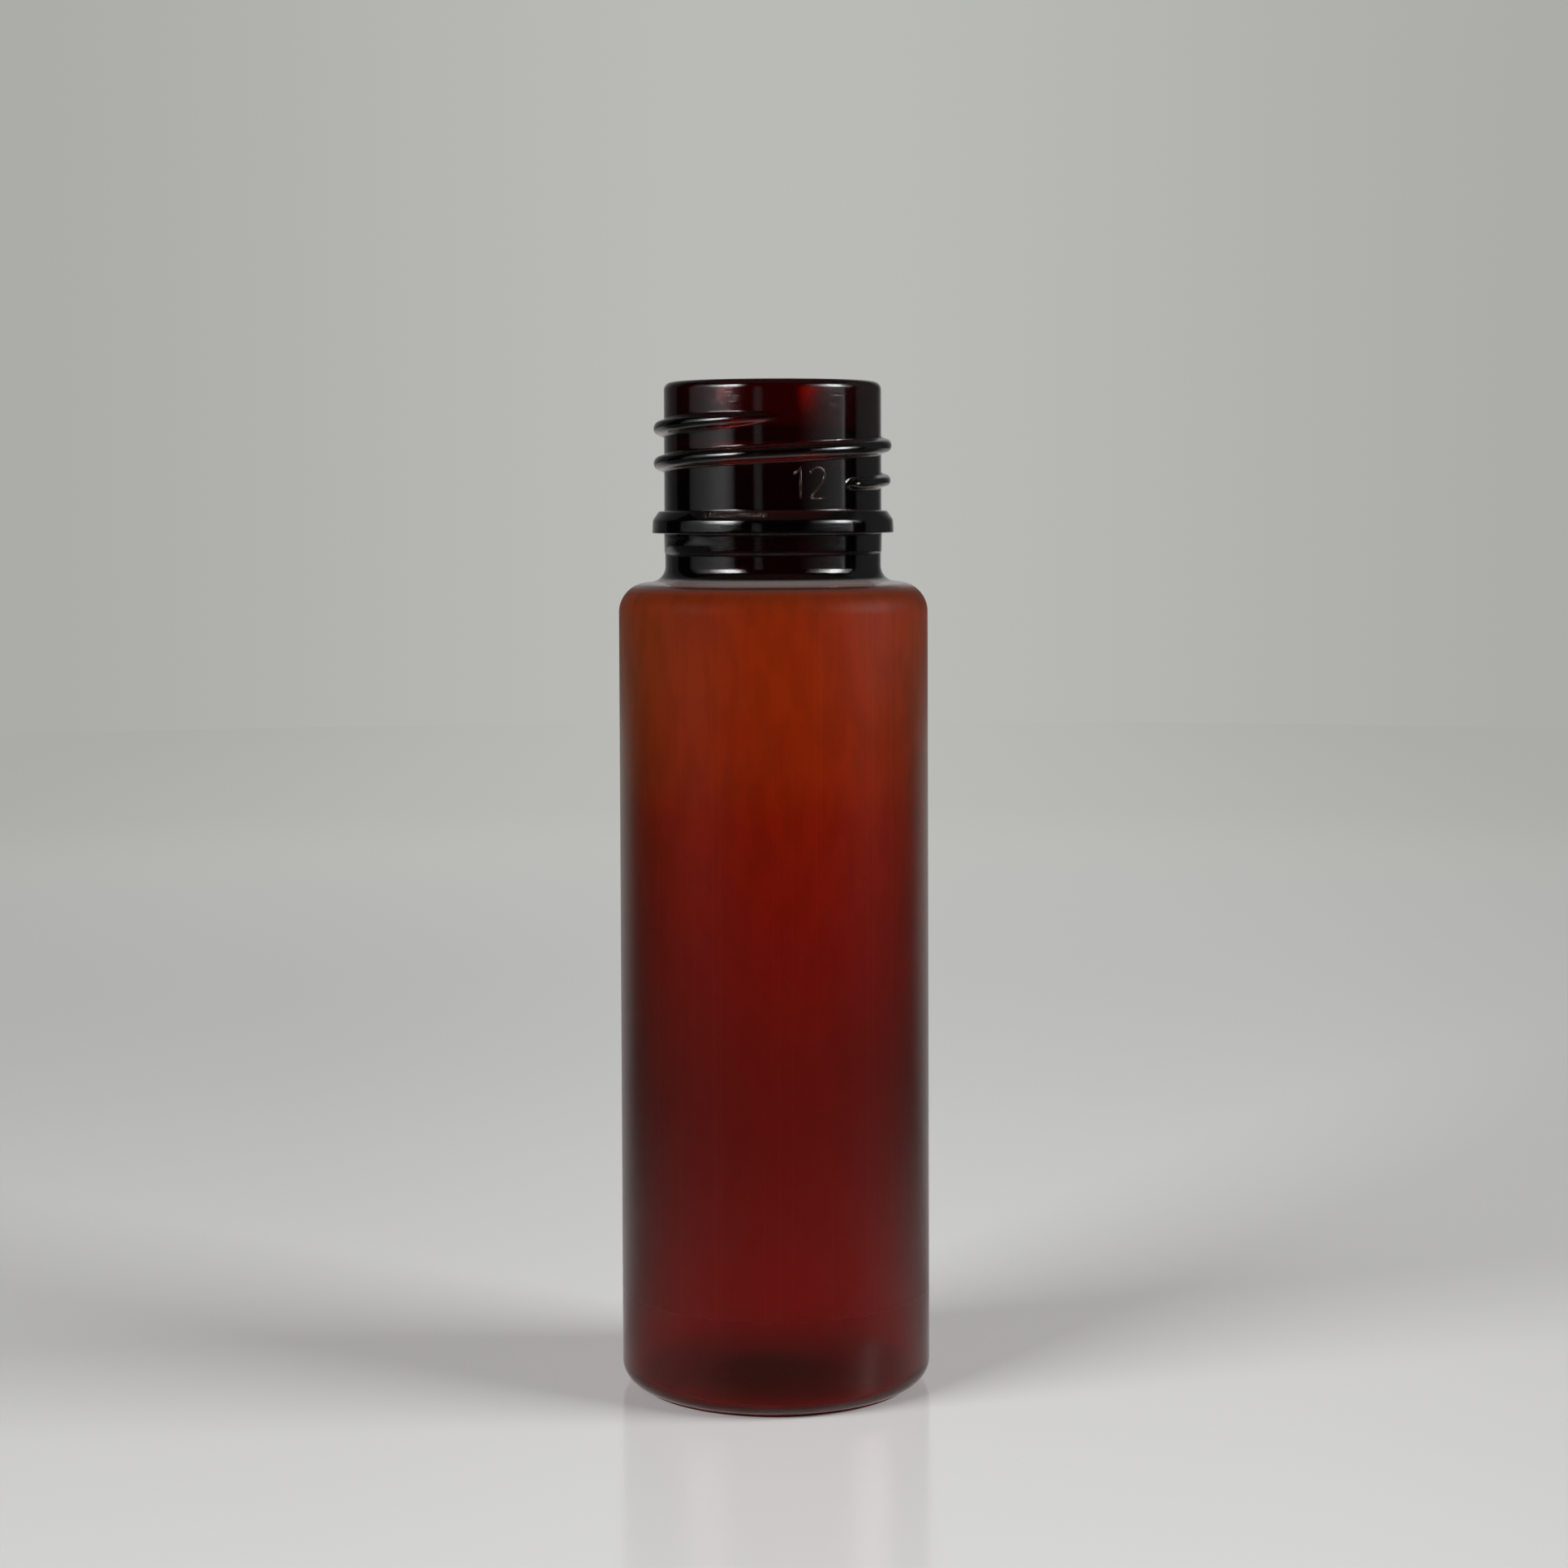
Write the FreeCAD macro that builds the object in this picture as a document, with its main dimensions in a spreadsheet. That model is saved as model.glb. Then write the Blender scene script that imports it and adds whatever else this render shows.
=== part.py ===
import FreeCAD, Part
import Sketcher
import math
import os

# Amber plastic shot bottle, moulded and blown in one piece, open at the top
#
# The bottle stands on its ring at height 0 with its axis on Z. Its front, where the upper end of the
# thread runs out, faces -Y. Lengths are in millimetres. Angles are in degrees, counted from +X
# towards +Y. A depth is measured down from the rim, and a height up from the table.

SIZES = [
    ("overall_height", 100.7, "table to rim"),
    ("body_diameter", 31.0, "straight body, outside"),
    ("body_wall", 0.5, "blown wall of the body"),
    ("neck_diameter", 21.8, "neck above the bead, outside"),
    ("neck_wall", 1.6, "moulded wall of the neck at the mouth"),
    ("rim_round", 0.8, "outer edge of the rim"),
    ("lip_bevel", 0.35, "inner edge of the rim"),
    ("thread_height", 1.05, "crest of the thread over the neck"),
    ("thread_round", 0.95, "radius of the thread's rounded section"),
    ("thread_flats", 8, "flats that make up the section's round"),
    ("thread_pitch", 3.5, "rise of the thread in one turn"),
    ("thread_turns", 1.79, "turns at full height"),
    ("thread_start_angle", -42.0, "where the full height starts, at the lower end"),
    ("thread_start_depth", 10.3, "middle of the thread at that start"),
    ("lower_runout_turns", 0.02, "blunt lower end"),
    ("upper_runout_turns", 0.08, "long tapered upper end"),
    ("runout_sink", 0.1, "how far both ends finish under the neck's surface"),
    ("bead_overhang", 1.22, "sharp lower edge of the retaining bead, over the neck"),
    ("bead_height", 2.2, "bead, along the axis"),
    ("bead_draft", 0.12, "how much the bead narrows towards its bevel"),
    ("bead_bevel_width", 0.55, "bevel on the bead's upper edge, along the radius"),
    ("bead_bevel_height", 0.9, "the same bevel, along the axis"),
    ("bead_underside_depth", 15.1, "flat underside that holds a cap's ring"),
    ("lower_neck_height", 4.73, "bead's underside to the crown of the shoulder"),
    ("lower_neck_step", 0.07, "how much slimmer the neck is under the bead"),
    ("crown_drop", 0.53, "fall of the shoulder's crown from the neck to the body"),
    ("neck_fillet", 1.55, "hollow curve from neck to shoulder, outside"),
    ("shoulder_round", 2.95, "outer corner of the shoulder"),
    ("shoulder_wall", 0.9, "wall under the crown of the shoulder"),
    ("bore_step", 0.9, "how much narrower the bore gets below the mouth, along the radius"),
    ("bore_step_depth", 7.2, "where it starts to narrow"),
    ("bore_step_height", 1.8, "length of the narrowing cone"),
    ("bore_bevel", 2.2, "slope from bore to shoulder, inside"),
    ("inner_shoulder_bevel", 1.45, "outer corner of the shoulder, inside"),
    ("heel_round", 2.0, "curve from body to base"),
    ("heel_rise", 0.3, "how far the underside of the heel climbs outwards"),
    ("ring_inset", 1.75, "standing ring inside the body's outline"),
    ("ring_height", 0.25, "side of the standing ring"),
    ("ring_width", 0.9, "flat that touches the table"),
    ("push_step_width", 0.4, "steep slope inside the ring, along the radius"),
    ("push_step_height", 0.6, "the same slope, along the axis"),
    ("push_rise", 1.3, "gentle climb of the pushed-up base above that slope"),
    ("base_wall", 0.75, "wall of the base at its edge"),
    ("inner_heel_bevel", 0.9, "corner between body and base, inside"),
    ("centre_wall", 1.6, "thicker middle of the base"),
    ("gate_diameter", 2.6, "moulding mark under the base"),
    ("gate_height", 0.35, "how far the mark stands down"),
]

doc = FreeCAD.newDocument("shot_bottle")

sheet = doc.addObject("Spreadsheet::Sheet", "sizes")
for row, (alias, value, meaning) in enumerate(SIZES, start=1):
    sheet.set(f"A{row}", alias)
    sheet.set(f"B{row}", str(value))
    sheet.set(f"C{row}", meaning)
    sheet.setAlias(f"B{row}", alias)
doc.recompute()

# Radii and heights that the outlines share
BODY = "sizes.body_diameter / 2"
INNER_BODY = f"{BODY} - sizes.body_wall"
NECK = "sizes.neck_diameter / 2"
LOWER_NECK = f"{NECK} - sizes.lower_neck_step"
BORE = f"{NECK} - sizes.neck_wall"
LOWER_BORE = f"{BORE} - sizes.bore_step"
BEAD = f"{NECK} + sizes.bead_overhang"
BEAD_BEVEL = f"{BEAD} - sizes.bead_draft"
RING = f"{BODY} - sizes.ring_inset"
RING_INSIDE = f"{RING} - sizes.ring_width"
PUSH_EDGE = f"{RING_INSIDE} - sizes.push_step_width"
GATE = "sizes.gate_diameter / 2"

RIM = "sizes.overall_height"
UNDERSIDE = f"{RIM} - sizes.bead_underside_depth"
BEAD_TOP = f"{UNDERSIDE} + sizes.bead_height"
CROWN = f"{UNDERSIDE} - sizes.lower_neck_height"
CROWN_EDGE = f"{CROWN} - sizes.crown_drop"
INNER_CROWN = f"{CROWN} - sizes.shoulder_wall"
INNER_EDGE = f"{CROWN_EDGE} - sizes.shoulder_wall"
HEEL_FOOT = "sizes.ring_height + sizes.heel_rise"
FLOOR_EDGE = f"{HEEL_FOOT} + sizes.base_wall"
PUSH_FOOT = "sizes.push_step_height"
PUSH_TOP = f"{PUSH_FOOT} + sizes.push_rise"
GATE_FOOT = f"{PUSH_TOP} - sizes.gate_height"

# The inside goes straight up from the bevel of the lip and stops clear of the rim
MOUTH = f"{BORE} + sizes.lip_bevel"
OVER_RIM = f"{RIM} + sizes.rim_round"

# The two corners of the shoulder share its width, and the heel's curve ends before the ring
SHOULDER_WIDTH = f"({BODY} - ({LOWER_NECK}))"
NECK_FILLET = f"min(sizes.neck_fillet; 0.35 * {SHOULDER_WIDTH})"
SHOULDER_ROUND = f"min(sizes.shoulder_round; 0.64 * {SHOULDER_WIDTH})"
INNER_WIDTH = f"({INNER_BODY} - ({LOWER_BORE}))"
BORE_BEVEL = f"min(sizes.bore_bevel; 0.6 * {INNER_WIDTH})"
INNER_BEVEL = f"min(sizes.inner_shoulder_bevel; 0.39 * {INNER_WIDTH})"
HEEL_SLOPE = "(sizes.heel_rise / sqrt(sizes.heel_rise ^ 2 + sizes.ring_inset ^ 2))"
HEEL_ROUND = f"min(sizes.heel_round; 0.98 * sizes.ring_inset / (1 - {HEEL_SLOPE}))"


def current(expression):
    """The present value of an expression of the sheet, where None is the axis or the table."""
    return 0.0 if expression is None else float(sheet.evalExpression(expression))


def half_plane(body, name):
    """An empty sketch on the upright plane through the axis."""
    sketch = body.newObject("Sketcher::SketchObject", name)
    for plane in body.Origin.OriginFeatures:
        if plane.Role == "XZ_Plane":
            sketch.AttachmentSupport = [(plane, "")]
    sketch.MapMode = "FlatFace"
    return sketch


def bind(sketch, kind, elements, expression):
    """A dimension of the sketch that follows an expression of the sheet."""
    number = sketch.addConstraint(Sketcher.Constraint(kind, *elements, current(expression)))
    sketch.setExpression(f"Constraints[{number}]", expression)


def hold(sketch, edge, radius, height):
    """Hold the start of an edge at a radius and a height, where None is the axis or the table."""
    if radius is None:
        sketch.addConstraint(Sketcher.Constraint("PointOnObject", edge, 1, -2))
    else:
        bind(sketch, "DistanceX", (-1, 1, edge, 1), radius)
    if height is None:
        sketch.addConstraint(Sketcher.Constraint("PointOnObject", edge, 1, -1))
    else:
        bind(sketch, "DistanceY", (-1, 1, edge, 1), height)


def outline(body, name, corners):
    """A closed half section whose corners are each a radius, a height and a round or None."""
    sketch = half_plane(body, name)
    places = [FreeCAD.Vector(current(radius), current(height), 0) for radius, height, _ in corners]
    edges = []
    for start, end, (radius, height, _) in zip(places, places[1:] + places[:1], corners):
        edges.append(sketch.addGeometry(Part.LineSegment(start, end), False))
        hold(sketch, edges[-1], radius, height)
    for edge, following in zip(edges, edges[1:] + edges[:1]):
        sketch.addConstraint(Sketcher.Constraint("Coincident", edge, 2, following, 1))
    doc.recompute()
    for edge, (_, _, rounding) in zip(edges, corners):
        if rounding:
            sketch.fillet(edge, 1, current(rounding), True, True)
            arc = sketch.GeometryCount - 2
            bind(sketch, "Radius", (arc,), rounding)
    return sketch


def turned(name, corners):
    """A body made by turning a half section once around the axis."""
    body = doc.addObject("PartDesign::Body", name)
    sketch = outline(body, f"{name}_outline", corners)
    revolution = body.newObject("PartDesign::Revolution", f"{name}_turned")
    revolution.Profile = sketch
    revolution.ReferenceAxis = (sketch, ["V_Axis"])
    revolution.Angle = 360
    return body


# Outside, from the rim down over the bead, the shoulder and the heel to the pushed-up base
outside = turned("outside", [
    (None, RIM, None),
    (NECK, RIM, "sizes.rim_round"),
    (NECK, BEAD_TOP, None),
    (f"{BEAD_BEVEL} - sizes.bead_bevel_width", BEAD_TOP, None),
    (BEAD_BEVEL, f"{BEAD_TOP} - sizes.bead_bevel_height", None),
    (BEAD, UNDERSIDE, None),
    (LOWER_NECK, UNDERSIDE, None),
    (LOWER_NECK, CROWN, NECK_FILLET),
    (BODY, CROWN_EDGE, SHOULDER_ROUND),
    (BODY, HEEL_FOOT, HEEL_ROUND),
    (RING, "sizes.ring_height", None),
    (RING, None, None),
    (RING_INSIDE, None, None),
    (PUSH_EDGE, PUSH_FOOT, None),
    (GATE, PUSH_TOP, None),
    (GATE, GATE_FOOT, None),
    (None, GATE_FOOT, None),
])

# Inside, from the mouth down the bore and the body to a floor that rises over the base
inside = turned("inside", [
    (None, OVER_RIM, None),
    (MOUTH, OVER_RIM, None),
    (MOUTH, RIM, None),
    (BORE, f"{RIM} - sizes.lip_bevel", None),
    (BORE, f"{RIM} - sizes.bore_step_depth", None),
    (LOWER_BORE, f"{RIM} - sizes.bore_step_depth - sizes.bore_step_height", None),
    (LOWER_BORE, f"{INNER_CROWN} + {BORE_BEVEL}", None),
    (f"{LOWER_BORE} + {BORE_BEVEL}", INNER_CROWN, None),
    (f"{INNER_BODY} - {INNER_BEVEL}", INNER_EDGE, None),
    (INNER_BODY, f"{INNER_EDGE} - {INNER_BEVEL}", None),
    (INNER_BODY, f"{FLOOR_EDGE} + sizes.inner_heel_bevel", None),
    (f"{INNER_BODY} - sizes.inner_heel_bevel", FLOOR_EDGE, None),
    (PUSH_EDGE, f"{PUSH_FOOT} + sizes.base_wall", None),
    (None, f"{PUSH_TOP} + sizes.centre_wall", None),
])


def size(alias):
    """The present value of a size in the sheet."""
    return float(sheet.get(alias))


def thread_point(turn, sink=0.0):
    """The middle of the thread, by its turns above the full start and its sink into the neck."""
    angle = math.radians(size("thread_start_angle") + 360 * turn)
    crest = size("neck_diameter") / 2 + size("thread_height")
    radius = crest - size("thread_round") - sink
    height = size("overall_height") - size("thread_start_depth") + size("thread_pitch") * turn
    return FreeCAD.Vector(radius * math.cos(angle), radius * math.sin(angle), height)


def thread_helix():
    """The stretch at full height."""
    start = thread_point(0)
    rise = size("thread_pitch") * size("thread_turns")
    helix = Part.makeHelix(size("thread_pitch"), rise, math.hypot(start.x, start.y))
    helix.rotate(FreeCAD.Vector(), FreeCAD.Vector(0, 0, 1), size("thread_start_angle"))
    helix.translate(FreeCAD.Vector(0, 0, start.z))
    return helix.Edges[0]


def thread_runout(start, turns):
    """An end that leaves the helix without a corner and dives into the wall of the neck."""
    steps = 8
    full_sink = size("thread_height") + size("runout_sink")
    points = []
    for step in range(steps + 1):
        share = step / steps
        points.append(thread_point(start + share * turns, full_sink * share ** 2))
    along_helix = (thread_point(start + 1e-4 * turns) - points[0]).normalize()
    into_wall = (points[-1] - points[-2]).normalize()
    curve = Part.BSplineCurve()
    curve.interpolate(Points=points, InitialTangent=along_helix, FinalTangent=into_wall)
    return curve.toShape()


def thread_section(middle, along):
    """The rounded section across the path, with one of its flats at the crest."""
    flats = round(size("thread_flats"))
    outwards = FreeCAD.Vector(middle.x, middle.y, 0).normalize()
    across = along.cross(outwards).normalize()
    outwards = across.cross(along)
    corner = size("thread_round") / math.cos(math.pi / flats)
    points = []
    for number in range(flats + 1):
        angle = 2 * math.pi * (number + 0.5) / flats
        points.append(middle + corner * (math.cos(angle) * outwards + math.sin(angle) * across))
    return Part.makePolygon(points)


def thread_ridge():
    """The section swept from the blunt lower end to the tapered upper end."""
    lower = thread_runout(0, -size("lower_runout_turns"))
    upper = thread_runout(size("thread_turns"), size("upper_runout_turns"))
    path = Part.Wire([lower, thread_helix(), upper])
    end = lower.LastParameter
    sweep = Part.BRepOffsetAPI.MakePipeShell(path)
    sweep.add(thread_section(lower.valueAt(end), lower.tangentAt(end)))
    sweep.build()
    sweep.makeSolid()
    return sweep.shape()


# Right-hand thread, a round ridge along the neck
thread = doc.addObject("Part::Feature", "thread")
thread.Shape = thread_ridge()

# The bottle, hollowed last so that the thread's ends never show in the bore
threaded = doc.addObject("Part::Fuse", "threaded_outside")
threaded.Base = outside
threaded.Tool = thread
bottle = doc.addObject("Part::Cut", "bottle")
bottle.Base = threaded
bottle.Tool = inside
bottle.Label = "bottle"
doc.recompute()

for thing in doc.Objects:
    if "Invalid" in thing.State or "Error" in thing.State:
        raise RuntimeError(f"{thing.Name} could not be made: {thing.State}")
if bottle.Shape.isNull() or not bottle.Shape.isValid() or len(bottle.Shape.Solids) != 1:
    raise RuntimeError("the bottle is not one sound solid")

os.makedirs("parts", exist_ok=True)
bottle.Shape.exportStep(f"parts/{bottle.Label}.step")
print(f"bottle: {bottle.Shape.Volume / 1000:.2f} ml of plastic")
print(f"inside: {inside.Shape.Volume / 1000:.1f} ml up to the rim")
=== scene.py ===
# %% [markdown]
# # An amber plastic shot bottle
#
# The real bottle is one piece of amber PET. A preform with a finished screw neck is moulded
# first, and the rest is blown out below the neck. So the neck is thick and crisp, and the body
# is thin, soft-cornered and slightly wavy. The whole look comes from light going through that
# one wall, which makes two things worth the work here: a closed shell with a true inside and
# outside, and a studio that gives the shell something to bend and mirror.

import math

import bmesh
import bpy
from mathutils import Euler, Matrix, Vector


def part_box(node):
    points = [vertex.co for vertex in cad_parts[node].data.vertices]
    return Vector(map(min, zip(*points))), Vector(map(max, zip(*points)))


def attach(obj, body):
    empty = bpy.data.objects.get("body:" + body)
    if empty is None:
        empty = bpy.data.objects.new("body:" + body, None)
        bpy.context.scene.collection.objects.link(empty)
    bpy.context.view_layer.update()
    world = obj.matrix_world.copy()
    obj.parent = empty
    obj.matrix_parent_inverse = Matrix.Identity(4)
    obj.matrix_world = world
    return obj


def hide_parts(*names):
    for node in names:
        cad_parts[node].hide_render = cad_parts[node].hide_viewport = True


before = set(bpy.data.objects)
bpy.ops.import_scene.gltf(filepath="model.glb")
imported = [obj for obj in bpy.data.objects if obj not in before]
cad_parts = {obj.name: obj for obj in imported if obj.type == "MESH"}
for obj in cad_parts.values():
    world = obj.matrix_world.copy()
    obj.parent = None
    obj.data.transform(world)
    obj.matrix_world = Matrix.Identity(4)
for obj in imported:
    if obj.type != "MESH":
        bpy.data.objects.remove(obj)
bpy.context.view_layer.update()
low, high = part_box("bottle")
print("bottle from", [round(v, 4) for v in low], "to", [round(v, 4) for v in high])

# %% [markdown]
# ## The camera
#
# The photo looks nearly level, from just under the rim, with a long lens. A level camera keeps
# the sides of the bottle upright. So the camera tilts down by only two degrees, and the sensor is
# shifted down for the rest of the way, as with a view camera. The camera stands a hair to the
# right of the axis and leans by a fifth of a degree, as a hand-set camera does.

# %% Camera
FRAME_PIXELS = 1932
FOCAL_PIXELS = 3771.4
AIM_ROW = 742.5
SENSOR_WIDTH = 36.0
CAMERA_PLACE = Vector((0.00112, -0.30759, 0.0893))
CAMERA_TILT = math.radians(2)
CAMERA_LEAN = math.radians(0.22)

camera_data = bpy.data.cameras.new("camera")
camera_data.sensor_width = SENSOR_WIDTH
camera_data.lens = SENSOR_WIDTH * FOCAL_PIXELS / FRAME_PIXELS
camera_data.shift_y = (AIM_ROW - FRAME_PIXELS / 2) / FRAME_PIXELS
camera = bpy.data.objects.new("camera", camera_data)
bpy.context.collection.objects.link(camera)
camera.location = CAMERA_PLACE
camera.rotation_euler = Euler((math.radians(90) - CAMERA_TILT, CAMERA_LEAN, 0))
bpy.context.scene.camera = camera
bpy.context.scene.view_settings.view_transform = "Standard"
print("lens", round(camera_data.lens, 2), "mm, shift", round(camera_data.shift_y, 3))

# %% [markdown]
# ## Helpers for nodes
#
# Every finish is a small node tree. A tree is easier to read as a recipe than as a list of
# links, so one helper makes a node and takes for each socket either a plain value or another
# node's output. The others build on it, one for each thing that the recipes do often.

# %% Nodes and materials
def feed(tree, value, socket):
    """A plain value put into a socket, or another node's output linked to it."""
    if isinstance(value, bpy.types.NodeSocket):
        tree.links.new(value, socket)
    else:
        socket.default_value = value


def add(tree, kind, settings=None, **inputs):
    """A node of a kind, with its own settings and what its named sockets take."""
    node = tree.nodes.new(kind)
    for name, value in (settings or {}).items():
        setattr(node, name, value)
    for name, value in inputs.items():
        feed(tree, value, node.inputs[name.replace("_", " ")])
    return node


def new_material(name):
    """An empty node material, its tree and its output node."""
    material = bpy.data.materials.new(name)
    material.use_nodes = True
    tree = material.node_tree
    tree.nodes.clear()
    return material, tree, add(tree, "ShaderNodeOutputMaterial")


def mixed(tree, share, first, second):
    """A mix of two shaders."""
    node = add(tree, "ShaderNodeMixShader")
    for socket, output in zip(node.inputs, (share, first, second)):
        feed(tree, output, socket)
    return node.outputs[0]


# %% Sums on values
def math_node(tree, kind, first, second=0.0):
    """What an operation makes of two values, each a number or a node's output."""
    node = add(tree, "ShaderNodeMath", {"operation": kind})
    for socket, value in zip(node.inputs, (first, second)):
        feed(tree, value, socket)
    return node.outputs[0]


def product(tree, first, *others):
    """The product of several values."""
    for other in others:
        first = math_node(tree, "MULTIPLY", first, other)
    return first


def map_range(tree, value, from_range, to_range=(0.0, 1.0)):
    """A value moved smoothly from one range to another."""
    limits = zip(("From_Min", "From_Max", "To_Min", "To_Max"), from_range + to_range)
    node = add(tree, "ShaderNodeMapRange", {"interpolation_type": "SMOOTHSTEP"}, **dict(limits))
    feed(tree, value, node.inputs["Value"])
    return node.outputs["Result"]


def band(tree, value, rise, fall):
    """One between two ranges and nought outside them."""
    return product(tree, map_range(tree, value, rise), map_range(tree, value, fall, (1.0, 0.0)))


# %% Colours and places
def ramp(tree, value, stops):
    """The colour at a value on a ramp through the stops, each a place and a colour or a grey."""
    node = add(tree, "ShaderNodeValToRGB", Fac=value)
    points = node.color_ramp.elements
    while len(points) < len(stops):
        points.new(0.5)
    for point, (place, colour) in zip(points, stops):
        point.position = place
        point.color = (*(colour if isinstance(colour, tuple) else (colour,) * 3), 1.0)
    return node.outputs["Color"]


def shaded(tree, colour, shade):
    """A colour darkened by a factor."""
    node = add(tree, "ShaderNodeVectorMath", {"operation": "SCALE"}, Scale=shade)
    feed(tree, colour, node.inputs[0])
    return node.outputs[0]


def object_place(tree):
    """The place on the object, and its parts along the three axes."""
    place = add(tree, "ShaderNodeTexCoord").outputs["Object"]
    return place, add(tree, "ShaderNodeSeparateXYZ", Vector=place).outputs


def distance_to(tree, place, spot=(0.0, 0.0, 0.0)):
    """How far a place is from a spot."""
    node = add(tree, "ShaderNodeVectorMath", {"operation": "DISTANCE"})
    feed(tree, place, node.inputs[0])
    feed(tree, spot, node.inputs[1])
    return node.outputs["Value"]


def rays_of(tree, *names):
    """One for the rays of the named kinds, and nought for all others."""
    rays = add(tree, "ShaderNodeLightPath")
    chosen = rays.outputs[names[0]]
    for name in names[1:]:
        chosen = math_node(tree, "MAXIMUM", chosen, rays.outputs[name])
    return chosen


# %% [markdown]
# ## The studio
#
# The bottle stands on a glossy pale table before a plain grey backdrop. One wide disc is the
# table. Towards its rim it fades into the grey of the backdrop, which is the world's colour,
# so there is no edge to see from any side. A curved sheet of paper would do the same in a real
# studio, but it has a back, and the bottle has to look right from there too.
#
# Both get a little darker to the left and right, as the light of the two windows falls off.

# %% Backdrop's grey and its fall of light
BACKDROP = (0.491, 0.497, 0.468)
SIDE_SHADE = 0.83
SIDE_WIDTH = 0.28


def side_shade(tree, across):
    """The backdrop's fall of light to both sides."""
    return map_range(tree, math_node(tree, "ABSOLUTE", across), (0.0, SIDE_WIDTH), (1.0, SIDE_SHADE))


print("backdrop", BACKDROP, "and", SIDE_SHADE, "of it at the sides")

# %% [markdown]
# ### The table's far tones
#
# Near the bottle the table takes the lamps' light and the bottle's shadow. Lighting the rest of
# it evenly would need a hall full of lamps, so away from the bottle it fades into painted light:
# tones that go from nearly white, at a painted bright spot in front of the bottle, to the backdrop's
# grey.

# %% Far tones
# Distance in metres from the bright spot, and the tone of the table there
BRIGHT_SPOT = (0.0, -0.15, 0.0)
TONES = [
    (0.10, (0.714, 0.716, 0.714)),
    (0.15, (0.672, 0.675, 0.668)),
    (0.22, (0.635, 0.642, 0.628)),
    (0.27, (0.612, 0.620, 0.602)),
    (0.33, (0.594, 0.600, 0.583)),
    (0.42, (0.562, 0.568, 0.545)),
    (0.54, (0.524, 0.530, 0.505)),
    (0.72, BACKDROP),
]
FADE_AROUND = (0.12, 0.50)
FADE_IN_FRONT = (-0.07, -0.20)


def with_far_tones(tree, place, parts, surface):
    """The surface, faded into the painted tones away from the bottle."""
    tone = ramp(tree, distance_to(tree, place, BRIGHT_SPOT), TONES)
    far = add(tree, "ShaderNodeEmission", Color=shaded(tree, tone, side_shade(tree, parts["X"])))
    share = math_node(tree, "MAXIMUM", map_range(tree, distance_to(tree, place), FADE_AROUND),
                      map_range(tree, parts["Y"], FADE_IN_FRONT))
    looks = rays_of(tree, "Is Camera Ray", "Is Glossy Ray", "Is Transmission Ray")
    return mixed(tree, product(tree, share, looks), surface, far.outputs[0])


print("tones", len(TONES))

# %% [markdown]
# ### The glow under the bottle
#
# A clear bottle lets light through to the spot that it stands on, and its thick base gathers
# that light near the standing ring. Tracing this needs far more samples than a plain render
# has. So the table glows a little there, for rays that come through the plastic only.

# %% Glow under the bottle
# Distance from the axis in units of the glow's reach, and the glow there
UNDER_TONES = [(0.0, 0.0), (0.30, 0.01), (0.55, 0.10), (0.68, 0.30), (0.78, 0.34)]
UNDER_REACH = 0.02
UNDER_EDGE = (0.0145, 0.0155)


def with_glow_beneath(tree, place, surface):
    """The surface, with a glow under the bottle that shows through the plastic only."""
    distance = distance_to(tree, place)
    tone = ramp(tree, product(tree, distance, 1 / UNDER_REACH), UNDER_TONES)
    beneath = product(tree, map_range(tree, distance, UNDER_EDGE, (1.0, 0.0)),
                      rays_of(tree, "Is Transmission Ray"))
    return mixed(tree, beneath, surface, add(tree, "ShaderNodeEmission", Color=tone).outputs[0])


print("glow reaches", UNDER_EDGE[1], "m from the axis")

# %% [markdown]
# ### What the bottle mirrors of the table
#
# In the real room the table ends close to the bottle at the front and at the sides, and what lies
# beyond is dark. The bottle mirrors that, so its colour stays deep. The table here goes dark for
# mirrored rays only, from a hand's width away, and stays pale behind the bottle.

# %% Dark surroundings
MIRRORED_DARK = 0.07
DARK_FROM = (0.06, 0.16)
# Share of the distance that lies straight behind the bottle
PALE_BEHIND = (0.82, 0.50)


def with_dark_surroundings(tree, place, parts, surface):
    """The surface, dark for mirrored rays in front of the bottle and at its sides."""
    distance = distance_to(tree, place)
    behind = math_node(tree, "DIVIDE", parts["Y"], distance)
    hidden = product(tree, map_range(tree, distance, DARK_FROM),
                     map_range(tree, behind, PALE_BEHIND), rays_of(tree, "Is Glossy Ray"))
    dark = add(tree, "ShaderNodeEmission", Strength=MIRRORED_DARK)
    return mixed(tree, hidden, surface, dark.outputs[0])


# %% [markdown]
# ### The table itself
#
# The finish is built in layers: the lit surface first, and then each of the three looks above
# over it. The disc is one flat face, because nothing on it needs more.

# %% Table
TABLE_RADIUS = 0.9
TABLE_WHITE = (0.745, 0.742, 0.735, 1.0)
TABLE_GLOSS = 0.13


def new_object(name, shape, material):
    """An object with one material from a bmesh, which is freed."""
    mesh = bpy.data.meshes.new(name)
    shape.to_mesh(mesh)
    shape.free()
    mesh.materials.append(material)
    piece = bpy.data.objects.new(name, mesh)
    bpy.context.collection.objects.link(piece)
    return piece


table_finish, tree, output = new_material("table")
place, parts = object_place(tree)
surface = add(tree, "ShaderNodeBsdfPrincipled", Base_Color=TABLE_WHITE, Roughness=TABLE_GLOSS)
surface = with_far_tones(tree, place, parts, surface.outputs[0])
surface = with_glow_beneath(tree, place, surface)
surface = with_dark_surroundings(tree, place, parts, surface)
feed(tree, surface, output.inputs["Surface"])

disc = bmesh.new()
bmesh.ops.create_circle(disc, cap_ends=True, radius=TABLE_RADIUS, segments=96)
piece = new_object("table", disc, table_finish)
print("table radius", TABLE_RADIUS, "m")

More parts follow.
